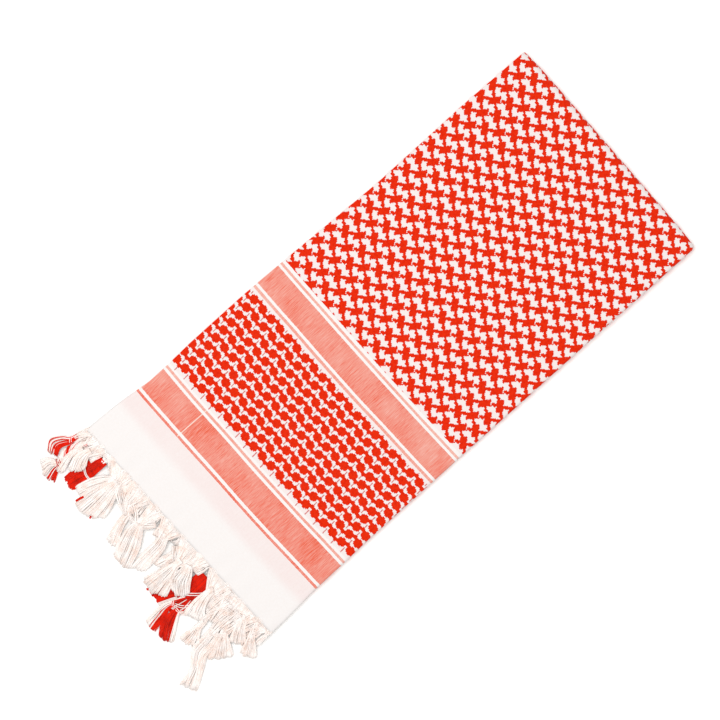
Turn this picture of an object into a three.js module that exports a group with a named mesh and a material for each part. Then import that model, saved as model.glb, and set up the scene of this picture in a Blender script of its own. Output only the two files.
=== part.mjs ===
// A keffiyeh: one square of checked cotton, folded flat to eight layers, its knotted fringe lying at one end.
// Millimetres, +Z up. The packet lies on z = 0, X along it from the fringe to the fold end, Y across it.
// Places are given from the middle of the cloth's fringe edge, and the whole scarf is centred at the end.
import * as THREE from "three";

// The cloth and its folds
const packetLength = 556.5; // from the fringe edge to the fold end: half the cloth's own length
const fringeHalfWidth = 133; // the packet is a little wider where the fringe lets it spread
const foldHalfWidth = 125.8;
const edgeSkew = 0.012; // how far the fringe edge runs on, for each millimetre across
const foldBulge = 2.5; // the fold end bows out between its corners
const clothWall = 1.2; // a slack layer of spun cotton with its raised pattern
const seamGap = 0.3;
const fringeEndHeight = 10; // eight layers, pressed
const foldEndHeight = 12.6; // eight layers and the spring of the bends
const rollRadius = 2.6; // outside of the turn along each long side
const rollDrop = 2.9; // how far the outer cloth comes down at the sides

// How far each long side stands out from a straight line between its corners
const sideWaver = [
  { along: 0, upper: -0.4, lower: 0.4 },
  { along: 20, upper: -0.3, lower: -0.1 },
  { along: 40, upper: -1.1, lower: -1.3 },
  { along: 60, upper: -2.4, lower: -2.6 },
  { along: 76, upper: -4.2, lower: -2.7 },
  { along: 98, upper: -3.7, lower: -2.9 },
  { along: 130, upper: -1.8, lower: -3.6 },
  { along: 200, upper: -0.2, lower: -3.2 },
  { along: 260, upper: -0.8, lower: -3.1 },
  { along: 320, upper: -2, lower: -2.4 },
  { along: 370, upper: -2.9, lower: -2.1 },
  { along: 420, upper: -1.6, lower: -1.9 },
  { along: 480, upper: 0.1, lower: -1 },
  { along: packetLength, upper: 0.2, lower: -0.3 },
];

// Broad soft swells where the layers below bunch a little
const swells = [
  { along: 120, across: -70, reachAlong: 60, reachAcross: 38, rise: 0.6 },
  { along: 200, across: 62, reachAlong: 80, reachAcross: 36, rise: 0.9 },
  { along: 335, across: -38, reachAlong: 95, reachAcross: 36, rise: 0.7 },
  { along: 462, across: 34, reachAlong: 48, reachAcross: 42, rise: 0.8 },
];

// The fringe: the lower fringe thins from bedHeight at the cloth's edge to nothing on the table
const bedHeight = 9.7;
const bedFalloff = 26;
const bedSink = 1.3;
const bedSlack = 0.2; // the lower fringe lies a little loose of what is on it
const underFringeShare = 1.15; // the lower fringe reaches a little past the net above it
const underFringeMost = 38;
const knotHeight = 4.6;

// How far out the gathered net reaches before its yarns part into tassels
const netReach = [
  { across: 132, out: 8 },
  { across: 122, out: 10 },
  { across: 109, out: 14 },
  { across: 95, out: 10 },
  { across: 80, out: 17 },
  { across: 72, out: 18.5 },
  { across: 60, out: 22 },
  { across: 50, out: 24.5 },
  { across: 40, out: 23 },
  { across: 31, out: 25.5 },
  { across: 18, out: 10 },
  { across: 6, out: 20 },
  { across: -4, out: 13 },
  { across: -11, out: 19 },
  { across: -20, out: 30.5 },
  { across: -26, out: 15 },
  { across: -32, out: 18 },
  { across: -43, out: 9 },
  { across: -56, out: 22 },
  { across: -64, out: 16 },
  { across: -72, out: 22 },
  { across: -84, out: 40 },
  { across: -91, out: 34 },
  { across: -98, out: 43 },
  { across: -106, out: 10 },
  { across: -124, out: 10 },
  { across: -131, out: 6 },
];

// Each tassel runs from its knot to its cut end. A stem is the cord it hangs on before the knot.
const tassels = [
  { knot: [-20, 135], end: [-38, 143], fan: 15, stem: 0, yarn: "redWhite" },
  { knot: [-11, 122], end: [-59, 130], fan: 15, stem: 0.64, yarn: "redWhite" },
  { knot: [-15, 109], end: [-43, 116.5], fan: 12, stem: 0, yarn: "white" },
  { knot: [-24, 101], end: [-50, 103], fan: 9, stem: 0, yarn: "red" },
  { knot: [-18.5, 80], end: [-47, 93.5], fan: 8, stem: 0, yarn: "white" },
  { knot: [-20, 71], end: [-56, 74], fan: 25, stem: 0, yarn: "white" },
  { knot: [-26, 46], end: [-57, 36], fan: 10, stem: 0, yarn: "white" },
  { knot: [-27, 31], end: [-64.5, 20], fan: 15, stem: 0, yarn: "white" },
  { knot: [-21, 6], end: [-60, 3], fan: 14, stem: 0, yarn: "white" },
  { knot: [-23, -11], end: [-39, -10.5], fan: 8, stem: 0, yarn: "white" },
  { knot: [-32, -20.5], end: [-58.5, -24.5], fan: 23, stem: 0, yarn: "white" },
  { knot: [-19.5, -32], end: [-41, -43.5], fan: 14, stem: 0, yarn: "white" },
  { knot: [-23.5, -56], end: [-50, -53.5], fan: 9, stem: 0, yarn: "red" },
  { knot: [-54, -47], end: [-80, -48.5], fan: 11, stem: 0, yarn: "redWhite" },
  { knot: [-56, -56.5], end: [-82, -74], fan: 12, stem: 0, yarn: "redWhite" },
  { knot: [-20, -64.5], end: [-49, -70], fan: 14, stem: 0, yarn: "white" },
  { knot: [-41.5, -84], end: [-69.5, -86.5], fan: 15, stem: 0, yarn: "white" },
  { knot: [-46, -97], end: [-95, -120], fan: 16, stem: 0.3, yarn: "white" },
  { knot: [-34, -107.5], end: [-50.5, -120], fan: 16, stem: 0, yarn: "white" },
  { knot: [-14.5, -107.5], end: [-31.5, -116.5], fan: 11, stem: 0, yarn: "white" },
  { knot: [-12, -123], end: [-29, -135], fan: 15, stem: 0, yarn: "white" },
  { knot: [-9, -132], end: [-16, -137], fan: 5, stem: 0, yarn: "white" },
];

// A tassel's width and thickness from its knot to its cut end, the width as a share of the fan past knotWidth
const knotWidth = 5.5;
const tasselSections = [
  { at: 0, spread: 0, thick: 3.6 },
  { at: 0.12, spread: 0.12, thick: knotHeight },
  { at: 0.26, spread: 0, thick: 3.4 },
  { at: 0.6, spread: 0.55, thick: 2.8 },
  { at: 0.9, spread: 1, thick: 2 },
  { at: 1, spread: 0.85, thick: 1.4 },
];
const stemWidth = 4.5;
const stemHeight = 3;

// Steps round each shape
const lengthSteps = 16;
const flatSteps = 12;
const rollSteps = 4;
const bendSteps = 12;
const scallops = 3; // layer edges that show between the outer cloth's two rolled edges
const scallopSteps = 4;
const scallopDepth = 1;
const tasselSides = 8;
const netStep = 5; // millimetres across from one net section to the next
const outSteps = 5;

const finish = (name, colour, roughness) =>
  new THREE.MeshStandardMaterial({ name, color: colour, roughness, metalness: 0 });
const checkedCotton = finish("checked_cotton", 0xef6f5c, 0.9);
const innerCotton = finish("inner_cotton", 0xf0b3a6, 0.95);
const fringeYarn = {
  white: finish("white_yarn", 0xf7efe6, 0.9),
  red: finish("red_yarn", 0xe3240f, 0.85),
  redWhite: finish("red_and_white_yarn", 0xee8f80, 0.88),
};

const scarf = new THREE.Group();

const { cos, sin, PI, exp, sqrt, max, min, abs, hypot } = Math;
const lerp = THREE.MathUtils.lerp;
const smooth = THREE.MathUtils.smoothstep;
const point = (x, y) => new THREE.Vector2(x, y);
const steps = (count) => Array.from({ length: count + 1 }, (_, i) => i / count);

// The value of a table's column between its rows, eased from row to row
function readTable(rows, key, column, at) {
  const rising = rows[0][key] < rows[rows.length - 1][key] ? rows : [...rows].reverse();
  const next = rising.findIndex((row) => row[key] >= at);
  if (next === 0) return rising[0][column];
  if (next < 0) return rising[rising.length - 1][column];
  const low = rising[next - 1];
  const high = rising[next];
  return lerp(low[column], high[column], smooth(at, low[key], high[key]));
}

// A closed solid through sections with equal, even numbers of points, each wound anticlockwise about the run.
// Point k of a section faces point (last - k), so a strip between the two halves closes each end.
// place(section, point) puts a section's point in space.
function loft(name, material, sections, place) {
  const around = sections[0].length;
  const last = (sections.length - 1) * around;
  const positions = sections.flatMap((outline, s) => outline.flatMap((p) => place(s, p).toArray()));
  const faces = [];
  const quad = (a, b, c, d) => faces.push(a, b, c, a, c, d);
  for (let low = 0; low < last; low += around)
    for (let k = 0; k < around; k++) {
      const next = (k + 1) % around;
      quad(low + k, low + next, low + around + next, low + around + k);
    }
  for (let k = 0; k < around / 2 - 1; k++) {
    const facing = around - 1 - k;
    quad(facing, facing - 1, k + 1, k);
    quad(last + k, last + k + 1, last + facing - 1, last + facing);
  }
  const geometry = new THREE.BufferGeometry();
  geometry.setAttribute("position", new THREE.Float32BufferAttribute(positions, 3));
  geometry.setIndex(faces);
  geometry.computeVertexNormals();
  const mesh = new THREE.Mesh(geometry, material);
  mesh.name = name;
  scarf.add(mesh);
}

// The packet's outline and height
const fringeLine = (y) => -edgeSkew * y;
const foldLine = (y) => packetLength + edgeSkew * y * 0.7 + foldBulge * (1 - (y / fringeHalfWidth) ** 8);
const height = (x) => lerp(fringeEndHeight, foldEndHeight, smooth(x, packetLength * 0.35, packetLength * 0.95));

function sideAt(x, side) {
  const straight = lerp(fringeHalfWidth, foldHalfWidth, x / packetLength);
  return side * (straight + readTable(sideWaver, "along", side > 0 ? "upper" : "lower", x));
}

const swellAt = (x, y) =>
  swells.reduce((sum, s) => {
    const away = ((x - s.along) / s.reachAlong) ** 2 + ((y - s.across) / s.reachAcross) ** 2;
    return sum + s.rise * exp(-away);
  }, 0);

// One quarter turn at a side, from the upright to the flat; inset is in from the side, rise is up from the flat
const rollTurn = (radius, inset) =>
  steps(rollSteps).map((f) => point(inset + radius * (1 - cos((f * PI) / 2)), radius * sin((f * PI) / 2)));

// The outer cloth's section at x: over the top, or under the bottom, with both edges rolled to rollDrop
function rolledSection(x, over) {
  const [low, high] = [sideAt(x, -1), sideAt(x, 1)];
  const level = (y, depth) => (over ? height(x) + swellAt(x, y) - depth : depth);
  const skin = (inset, depth) => {
    const radius = rollRadius - inset;
    const corner = rollTurn(radius, inset).map((p) => [p.x, rollRadius - p.y]);
    const edge = [[inset, rollDrop], ...corner];
    const left = edge.map(([i, d]) => point(low + i, level(low + i, d)));
    const right = edge.map(([i, d]) => point(high - i, level(high - i, d))).reverse();
    const flat = steps(over ? flatSteps : 2)
      .slice(1, -1)
      .map((f) => lerp(low + rollRadius, high - rollRadius, f))
      .map((y) => point(y, level(y, depth)));
    return [...left, ...flat, ...right];
  };
  const outer = skin(0, 0);
  const inner = skin(clothWall, clothWall);
  return over ? [...inner, ...outer.reverse()] : [...outer, ...inner.reverse()];
}

const bendCentre = (y) => foldLine(y) - foldEndHeight / 2;

// The stretch of cloth between the fringe edge and the bend, on top or beneath
function flatStretch(name, over) {
  const along = steps(lengthSteps);
  const runTo = packetLength - foldEndHeight / 2;
  const sections = along.map((f) => rolledSection(f * runTo, over));
  loft(name, checkedCotton, sections, (s, p) => {
    const x = lerp(fringeLine(p.x), bendCentre(p.x) - seamGap, along[s]);
    return new THREE.Vector3(x, p.x, p.y);
  });
}

// The cloth round the fold end: a half turn, its two open sides drawn in a little
function endFold() {
  const across = steps(flatSteps + 4);
  const half = foldEndHeight / 2;
  const edgeDraw = 0.6;
  const [low, high] = [sideAt(packetLength, -1), sideAt(packetLength, 1)];
  const turn = (radius) => steps(bendSteps).map((f) => point(radius * cos((f - 0.5) * PI), radius * sin((f - 0.5) * PI)));
  const sections = across.map((f) => {
    const drawn = edgeDraw * (f === 0 || f === 1 ? 1 : 0);
    const outer = turn(half - drawn);
    const inner = turn(half - clothWall);
    return [...inner, ...outer.reverse()].map((p) => point(half + p.y, p.x));
  });
  loft("end_fold", checkedCotton, sections, (s, p) => {
    const y = lerp(low, high, across[s]);
    return new THREE.Vector3(bendCentre(y) + p.y, y, p.x);
  });
}

// The layers between: one rounded solid, scalloped along both sides where their edges show
function hiddenLayers() {
  const inset = clothWall + seamGap;
  const innerTurn = rollRadius - inset;
  const sideSteps = (high) => {
    const free = high / 2 - rollDrop - seamGap;
    const count = scallops * scallopSteps;
    const waves = steps(count).map((f, k) =>
      point(inset - scallopDepth * sin((PI * (k % scallopSteps)) / scallopSteps), lerp(-free, free, f)),
    );
    const corner = rollTurn(innerTurn, inset)
      .filter((_, k) => k % 2 === 0)
      .map((p) => point(p.x, high / 2 - rollRadius + p.y));
    const below = corner.map((p) => point(p.x, -p.y)).reverse();
    return [...below, ...waves, ...corner];
  };
  const half = foldEndHeight / 2 - inset;
  const bendShares = [0.3, 0.6, 0.82, 0.95, 0.995];
  const stations = [
    ...steps(lengthSteps).map((f) => ({ f, out: 0, squash: 1 })),
    ...bendShares.map((s) => ({ f: 1, out: s * half, squash: sqrt(1 - s * s) })),
  ];
  const runTo = packetLength - foldEndHeight / 2;
  const sections = stations.map(({ f, squash }) => {
    const x = f * runTo;
    const mid = height(x) / 2;
    const [low, high] = [sideAt(x, -1), sideAt(x, 1)];
    const profile = sideSteps(height(x));
    const right = profile.map((p) => point(high - p.x, mid + p.y * squash));
    const left = profile.map((p) => point(low + p.x, mid + p.y * squash)).reverse();
    return [...right, ...left];
  });
  loft("hidden_layers", innerCotton, sections, (s, p) => {
    const { f, out } = stations[s];
    const start = fringeLine(p.x) + 2 * seamGap;
    return new THREE.Vector3(lerp(start, bendCentre(p.x), f) + out, p.x, p.y);
  });
}

// The fringe lies on this slope, which falls from the cloth's edge to the table
const bedAt = (x) => bedHeight * exp(-abs(x) / bedFalloff) - bedSink;
const restAt = (x) => max(0, bedAt(x) + seamGap);
const netOut = (y) => readTable(netReach, "across", "out", y);

function acrossFringe(from, to) {
  const count = Math.round((to - from) / netStep);
  return steps(count).map((f) => lerp(from, to, f));
}

// A strip lofted across the packet, from the fringe edge outwards: top and bottom are heights at a distance out
function fringeStrip(name, material, stations, reach, bottom, top) {
  const outs = steps(outSteps);
  const sections = stations.map((y) => {
    const start = fringeLine(y) - seamGap;
    const at = (f) => lerp(start, -reach(y), f);
    const lower = outs.map((f) => point(bottom(at(f), f), at(f)));
    const upper = outs.map((f) => point(top(at(f), f), at(f)));
    return [...lower, ...upper.reverse()];
  });
  loft(name, material, sections, (s, p) => new THREE.Vector3(p.y, stations[s], p.x));
}

function fringeBeds() {
  const netTop = (x, f) => {
    const cloth = fringeEndHeight - seamGap / 3;
    return lerp(cloth, restAt(x) + knotHeight, f);
  };
  fringeStrip("edge_net", fringeYarn.white, acrossFringe(-131, 131), netOut, restAt, netTop);
  const underReach = (y) => min(underFringeMost, netOut(y) * underFringeShare + 2);
  fringeStrip("under_fringe", innerCotton, acrossFringe(-129, 129), underReach, () => 0, (x) => bedAt(x) - bedSlack);
}

// A tassel: its stem, knot, neck and fan, flat on the slope below it
function tassel(name, { knot, end, fan, stem, yarn }) {
  const from = new THREE.Vector2(...knot);
  const run = new THREE.Vector2(...end).sub(from);
  const side = point(-run.y, run.x).normalize();
  const fanned = tasselSections.map(({ at, spread, thick }) => ({
    at: lerp(stem, 1, at),
    wide: lerp(knotWidth, fan, spread),
    thick,
  }));
  const cord = stem > 0 ? steps(3).slice(0, -1).map((f) => ({ at: f * stem, wide: stemWidth, thick: stemHeight })) : [];
  const stations = [...cord, ...fanned];
  const round = steps(tasselSides)
    .slice(0, -1)
    .map((f) => point(cos(f * 2 * PI), sin(f * 2 * PI)));
  const sections = stations.map(({ wide, thick }) => round.map((p) => point((p.x * wide) / 2, (p.y * thick) / 2)));
  loft(name, fringeYarn[yarn], sections, (s, p) => {
    const { at, thick } = stations[s];
    const flat = from.clone().addScaledVector(run, at).addScaledVector(side, p.x);
    return new THREE.Vector3(flat.x, flat.y, restAt(flat.x) + thick / 2 + p.y);
  });
}

flatStretch("face_stretch", true);
endFold();
flatStretch("under_stretch", false);
hiddenLayers();
fringeBeds();
tassels.forEach((row, i) => tassel(`tassel_${String(i + 1).padStart(2, "0")}`, row));

// The origin is the middle of the scarf's reach, on the table
const reach = new THREE.Box3().setFromObject(scarf);
scarf.position.set(-(reach.min.x + reach.max.x) / 2, -(reach.min.y + reach.max.y) / 2, -reach.min.z);

export default scarf;
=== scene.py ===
import math
import random

import bmesh
import bpy
import numpy as np
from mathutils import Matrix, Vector


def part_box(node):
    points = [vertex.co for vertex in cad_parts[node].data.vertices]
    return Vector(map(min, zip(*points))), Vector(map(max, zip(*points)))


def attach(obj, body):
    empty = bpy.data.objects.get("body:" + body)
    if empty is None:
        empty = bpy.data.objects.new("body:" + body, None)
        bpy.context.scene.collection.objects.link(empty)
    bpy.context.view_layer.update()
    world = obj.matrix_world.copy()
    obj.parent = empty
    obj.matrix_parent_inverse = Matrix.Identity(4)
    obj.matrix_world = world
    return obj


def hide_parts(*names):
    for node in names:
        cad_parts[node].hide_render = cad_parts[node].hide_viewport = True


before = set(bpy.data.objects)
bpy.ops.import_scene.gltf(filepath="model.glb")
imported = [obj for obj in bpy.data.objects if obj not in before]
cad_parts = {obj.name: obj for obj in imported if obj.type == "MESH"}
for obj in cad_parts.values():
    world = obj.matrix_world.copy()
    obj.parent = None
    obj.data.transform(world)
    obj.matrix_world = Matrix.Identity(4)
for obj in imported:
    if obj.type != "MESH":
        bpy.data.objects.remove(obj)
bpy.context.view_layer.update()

# A keffiyeh: one square of checked cotton folded flat to eight layers, its knotted fringe lying at one end.
# Places are in millimetres from the middle of the cloth's fringe edge: x to the fold end, y across, z up.
# toFrame turns them into the frame's metres.
netLow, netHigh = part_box("edge_net")
netPastEdge = 1.27  # how far the fringe's root reaches past the middle of the cloth's edge
edgeMiddle = Vector((netHigh.x - netPastEdge / 1000, (netLow.y + netHigh.y) / 2, 0))


def toFrame(x, y, z):
    return Vector((x, y, z)) / 1000 + edgeMiddle


def linearColour(hexText):  # an sRGB hex value as linear red, green, blue and alpha
    channels = [int(hexText[i:i + 2], 16) / 255 for i in (1, 3, 5)]
    linear = [c / 12.92 if c <= 0.04045 else ((c + 0.055) / 1.055) ** 2.4 for c in channels]
    return (*linear, 1)


def addNode(tree, kind, inputs=(), output=0, **settings):
    node = tree.nodes.new("ShaderNode" + kind)
    for key, value in settings.items():
        setattr(node, key, value)
    rows = inputs.items() if isinstance(inputs, dict) else enumerate(inputs)
    for slot, value in rows:
        if isinstance(value, bpy.types.NodeSocket):
            tree.links.new(value, node.inputs[slot])
        elif value is not None:
            node.inputs[slot].default_value = value
    return node.outputs[output] if node.outputs else node


def blend(tree, share, first, second):
    return addNode(tree, "Mix", {0: share, 6: first, 7: second}, output=2, data_type="RGBA")


def newMaterial(name):
    material = bpy.data.materials.new(name)
    material.use_nodes = True
    material.node_tree.nodes.clear()
    return material, material.node_tree


def smooth(value, low, high):
    share = np.clip((value - low) / (high - low), 0, 1)
    return share * share * (3 - 2 * share)


# Studio: camera straight above, a wide soft light overhead and a pale table
studio = {
    "aim": (241.3, 8.1),  # the middle of the view
    "viewWidth": 699,
    "turn": -41.53,  # degrees, so that the packet climbs to the upper right
    "cameraHeight": 2600,
    "lightHeight": 2600,
    "lightSize": 2.4,
    "lightFromAim": (-150, 420),
    "lightPower": 62,
    "fill": 0.58,
    "table": "#fbfaf8",
    "tableHalfWidth": 3000,
    "tableDrop": 0.3,
}


def buildStudio():
    scene = bpy.context.scene
    scene.view_settings.view_transform = "Standard"
    camera = bpy.data.objects.new("camera", bpy.data.cameras.new("camera"))
    scene.collection.objects.link(camera)
    camera.location = toFrame(*studio["aim"], studio["cameraHeight"])
    camera.rotation_euler = (0, 0, math.radians(studio["turn"]))
    camera.data.lens = camera.data.sensor_width * studio["cameraHeight"] / studio["viewWidth"]
    camera.data.clip_end = 20
    scene.camera = camera

    lamp = bpy.data.lights.new("overhead", "AREA")
    lamp.shape = "DISK"
    lamp.size = studio["lightSize"]
    lamp.energy = studio["lightPower"]
    overhead = bpy.data.objects.new("overhead", lamp)
    scene.collection.objects.link(overhead)
    lightX, lightY = (middle + off for middle, off in zip(studio["aim"], studio["lightFromAim"]))
    overhead.location = toFrame(lightX, lightY, studio["lightHeight"])
    aim = toFrame(*studio["aim"], 0) - overhead.location
    overhead.rotation_euler = aim.to_track_quat("-Z", "Y").to_euler()

    world = bpy.data.worlds.new("white room")
    scene.world = world
    world.use_nodes = True
    world.node_tree.nodes["Background"].inputs["Color"].default_value = (1, 1, 1, 1)
    world.node_tree.nodes["Background"].inputs["Strength"].default_value = studio["fill"]

    shape = bmesh.new()
    bmesh.ops.create_grid(shape, x_segments=1, y_segments=1, size=studio["tableHalfWidth"] / 1000)
    bmesh.ops.translate(shape, vec=(0, 0, -studio["tableDrop"] / 1000), verts=shape.verts)
    mesh = bpy.data.meshes.new("table")
    shape.to_mesh(mesh)
    shape.free()
    table = bpy.data.objects.new("table", mesh)
    scene.collection.objects.link(table)
    material, tree = newMaterial("matt white laminate")
    board = addNode(tree, "BsdfPrincipled", {"Base Color": linearColour(studio["table"]), "Roughness": 0.9,
                                             "Specular IOR Level": 0.2})
    addNode(tree, "OutputMaterial", {"Surface": board})
    mesh.materials.append(material)


buildStudio()
print("studio ready")

# The folded cloth
cloth = {
    "length": 556.5,
    "fringeHalfWidth": 133,
    "foldHalfWidth": 125.8,
    "edgeSkew": 0.012,  # how far the fringe edge runs on, for each millimetre across
    "foldSkew": 0.0084,
    "foldBulge": 2.5,
    "fringeEndHeight": 10,
    "foldEndHeight": 12.6,
    "wall": 0.9,  # spun cotton with its raised pattern
    "cell": 3,
    "undersideCell": 9.5,
    "selvedgeShows": 1.1,  # a lower layer's selvedge peeps out beside the white hem
    "puckerHeight": 0.45,  # the knots draw the fringe edge up in small ripples
    "puckerSpacing": 21,
    "puckerReach": 15,
}

# How far each long side stands out from a straight line between its corners: along, upper side, lower side.
# Rounded from figures that a scratch script printed for the outline.
sideWaver = [
    (0, -0.4, 0.4), (20, -0.3, -0.1), (40, -1.1, -1.3), (60, -2.4, -2.6), (76, -4.2, -2.7),
    (98, -3.7, -2.9), (130, -1.8, -3.6), (200, -0.2, -3.2), (260, -0.8, -3.1), (320, -2, -2.4),
    (370, -2.9, -2.1), (420, -1.6, -1.9), (480, 0.1, -1), (556.5, 0.2, -0.3),
]

# Broad soft swells where the layers below bunch a little: along, across, reach along, reach across, rise
swells = [(120, -70, 60, 38, 0.6), (200, 62, 80, 36, 0.9), (335, -38, 95, 36, 0.7), (462, 34, 48, 42, 0.8)]

# Creases pressed or rubbed into the top layer: from, to, half width, height (troughs are negative)
creases = [
    ((60, 70), (104, 70), 1.6, 0.3),
    ((40, 72), (62, 70), 3, -0.22),
    ((72, -52), (90, -51), 2, 0.2),
    ((6, 96), (44, 108), 6, 0.3),
    ((8, 60), (52, 48), 7, -0.3),
    ((4, 12), (46, 22), 6, 0.28),
    ((8, -40), (50, -58), 7, 0.3),
    ((6, -88), (42, -104), 6, -0.28),
    ((150, 131), (238, 118), 7, 0.35),
    ((190, 60), (262, 92), 8, -0.3),
    ((262, 20), (345, 44), 9, 0.3),
    ((300, 112), (372, 88), 8, -0.32),
    ((330, -100), (420, -84), 8, 0.3),
    ((405, 60), (470, 100), 9, 0.32),
    ((430, -20), (520, -42), 9, -0.3),
    ((500, 96), (552, 60), 7, 0.3),
    ((470, -118), (548, -96), 8, 0.26),
]


def sideAt(x, upper):
    rows = np.array(sideWaver)
    widening = cloth["foldHalfWidth"] - cloth["fringeHalfWidth"]
    straight = cloth["fringeHalfWidth"] + widening * x / cloth["length"]
    out = straight + np.interp(x, rows[:, 0], rows[:, 1 if upper else 2])
    return out if upper else -out


def fringeLine(y):
    return -cloth["edgeSkew"] * y


def foldLine(y):
    bulge = cloth["foldBulge"] * (1 - (y / cloth["fringeHalfWidth"]) ** 8)
    return cloth["length"] + cloth["foldSkew"] * y + bulge


def packetHeight(x):
    rise = smooth(x, 0.35 * cloth["length"], 0.95 * cloth["length"])
    return cloth["fringeEndHeight"] + (cloth["foldEndHeight"] - cloth["fringeEndHeight"]) * rise


def reliefAt(x, y):  # how far the top layer stands above the flat
    rise = 0
    for along, across, reachAlong, reachAcross, height in swells:
        rise += height * math.exp(-((x - along) / reachAlong) ** 2 - ((y - across) / reachAcross) ** 2)
    for start, end, halfWidth, height in creases:
        runX, runY = end[0] - start[0], end[1] - start[1]
        share = ((x - start[0]) * runX + (y - start[1]) * runY) / (runX ** 2 + runY ** 2)
        if -0.3 < share < 1.3:
            off = abs((x - start[0]) * runY - (y - start[1]) * runX) / math.hypot(runX, runY)
            taper = math.exp(-(2.2 * (share - 0.5)) ** 4)
            rise += height * taper * math.exp(-(off / halfWidth) ** 2)
    ripple = math.sin(2 * math.pi * y / cloth["puckerSpacing"] + 1.1) + 0.6 * math.sin(y / 2.6)
    return rise + cloth["puckerHeight"] * ripple * math.exp(-max(x, 0) / cloth["puckerReach"])


# One section of four layers, from the free edge of the fourth, round the outer bend to the top layer,
# round the fold to the second, and round the inner bend to the third. Heights and bends are in layer
# pitches from the middle of all eight layers.
def sectionColumns():
    coarse = [0, 0.006, 0.02, 0.08, 0.3, 0.5, 0.7, 0.92, 0.98, 0.994, 1]
    fine = np.linspace(0, 1, round(2 * cloth["fringeHalfWidth"] / cloth["cell"]) + 1)
    columns = [("fourth", f, 0, 0.5) for f in reversed(coarse)]
    for angle in np.linspace(-90, 90, 10)[1:-1]:
        turn = math.radians(angle)
        columns.append(("outer bend", 0, -1.5 * math.cos(turn), 2 + 1.5 * math.sin(turn)))
    columns += [("top", f, 0, 3.5) for f in fine]
    for angle in np.linspace(90, -90, 8)[1:-1]:
        turn = math.radians(angle)
        columns.append(("fold", 1, 0.5 * math.cos(turn), 3 + 0.5 * math.sin(turn)))
    columns += [("second", f, 0, 2.5) for f in reversed(coarse)]
    for angle in np.linspace(90, -90, 7)[1:-1]:
        turn = math.radians(angle)
        columns.append(("inner bend", 0, -0.5 * math.cos(turn), 2 + 0.5 * math.sin(turn)))
    columns += [("third", f, 0, 1.5) for f in coarse]
    return columns


def lengthRows():  # share along the straight, and degrees from upright round the end
    top = [(f, 90) for f in np.linspace(0, 1, round(cloth["length"] / cloth["cell"]) + 1)]
    bend = [(1, angle) for angle in np.linspace(90, -90, 13)[1:-1]]
    below = [(f, -90) for f in np.linspace(1, 0, round(cloth["length"] / cloth["undersideCell"]) + 1)]
    return top + bend + below


def clothAcross(layer, y, low, high, pitch, dip):  # the flat cloth's own place across, y on the top layer
    left, right = low + 1.5 * pitch, high - 0.5 * pitch
    if layer == "top":
        return y
    if layer == "outer bend":
        return left - 1.5 * pitch * math.acos(max(-1, min(1, (dip - 2) / 1.5)))
    if layer == "fourth":
        return left - 1.5 * pitch * math.pi - (y - left)
    if layer == "fold":
        return right + 0.5 * pitch * math.acos(max(-1, min(1, (dip - 3) / 0.5)))
    secondAt = right + 0.5 * pitch * math.pi + (right - y)
    if layer == "second":
        return secondAt
    secondEnd = right + 0.5 * pitch * math.pi + (right - left)
    if layer == "inner bend":
        return secondEnd + 0.5 * pitch * math.acos(max(-1, min(1, (dip - 2) / 0.5)))
    return secondEnd + 0.5 * pitch * math.pi + (y - left)


def foldedPoint(column, row):
    layer, across, bend, level = column
    share, angle = row
    x = share * cloth["length"]
    low, high = sideAt(x, False) + cloth["wall"] / 2, sideAt(x, True) - cloth["wall"] / 2
    pitch = (packetHeight(x) - cloth["wall"]) / 7
    y = low + 1.5 * pitch + across * (high - low - 2 * pitch) + bend * pitch
    if layer in ("third", "fourth"):
        peep = cloth["selvedgeShows"] * (1 - smooth(x, 40, 80)) - 0.4 + 0.3 * math.sin(x / 37 + level)
        y += across ** 6 * (peep + 0.5 * pitch)
    bendAt = foldLine(y) - cloth["foldEndHeight"] / 2
    under = angle < 0
    start = fringeLine(y) + (0 if level > 3 and not under else 0.7 * math.sin(2.3 * level + 4 * under))
    along = start + (bendAt - start) * share
    middle = packetHeight(along) / 2
    reach = level * pitch
    turn = math.radians(angle)
    z = middle + reach * math.sin(turn)
    if z > 0:
        z += reliefAt(along, y) * (z / (2 * middle)) ** 3
    outer = 3.5 * pitch
    wholeLength = 2 * bendAt + math.pi * outer
    if angle == 90:
        clothAlong = along
    elif angle == -90:
        clothAlong = wholeLength - along
    else:
        clothAlong = bendAt + outer * (math.pi / 2 - turn)
    flat = (clothAlong, clothAcross(layer, y, low, high, pitch, level))
    return toFrame(along + reach * math.cos(turn), y, z), flat


def buildCloth():
    columns = sectionColumns()
    rows = lengthRows()
    shape = bmesh.new()
    bmesh.ops.create_grid(shape, x_segments=len(columns) - 1, y_segments=len(rows) - 1, size=1)
    uvLayer = shape.loops.layers.uv.new("flat cloth")
    flatPlace = {}
    for vert in shape.verts:
        column = round((vert.co.x + 1) / 2 * (len(columns) - 1))
        row = round((vert.co.y + 1) / 2 * (len(rows) - 1))
        vert.co, flatPlace[vert] = foldedPoint(columns[column], rows[row])
    for face in shape.faces:
        face.smooth = True
        for loop in face.loops:
            loop[uvLayer].uv = Vector(flatPlace[loop.vert]) / 1000
    upward = next(face for face in shape.faces if face.calc_center_median().z > 0.0085)
    upward.normal_update()
    if upward.normal.z < 0:
        bmesh.ops.reverse_faces(shape, faces=shape.faces)
    mesh = bpy.data.meshes.new("folded cloth")
    shape.to_mesh(mesh)
    shape.free()
    piece = bpy.data.objects.new("folded_cloth", mesh)
    bpy.context.scene.collection.objects.link(piece)
    wall = piece.modifiers.new("wall", "SOLIDIFY")
    wall.thickness = cloth["wall"] / 1000
    wall.offset = 0
    across = [place[1] for place in flatPlace.values()]
    along = [place[0] for place in flatPlace.values()]
    return piece, (max(across) - min(across)) / 1000, (max(along) - min(along)) / 1000


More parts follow.
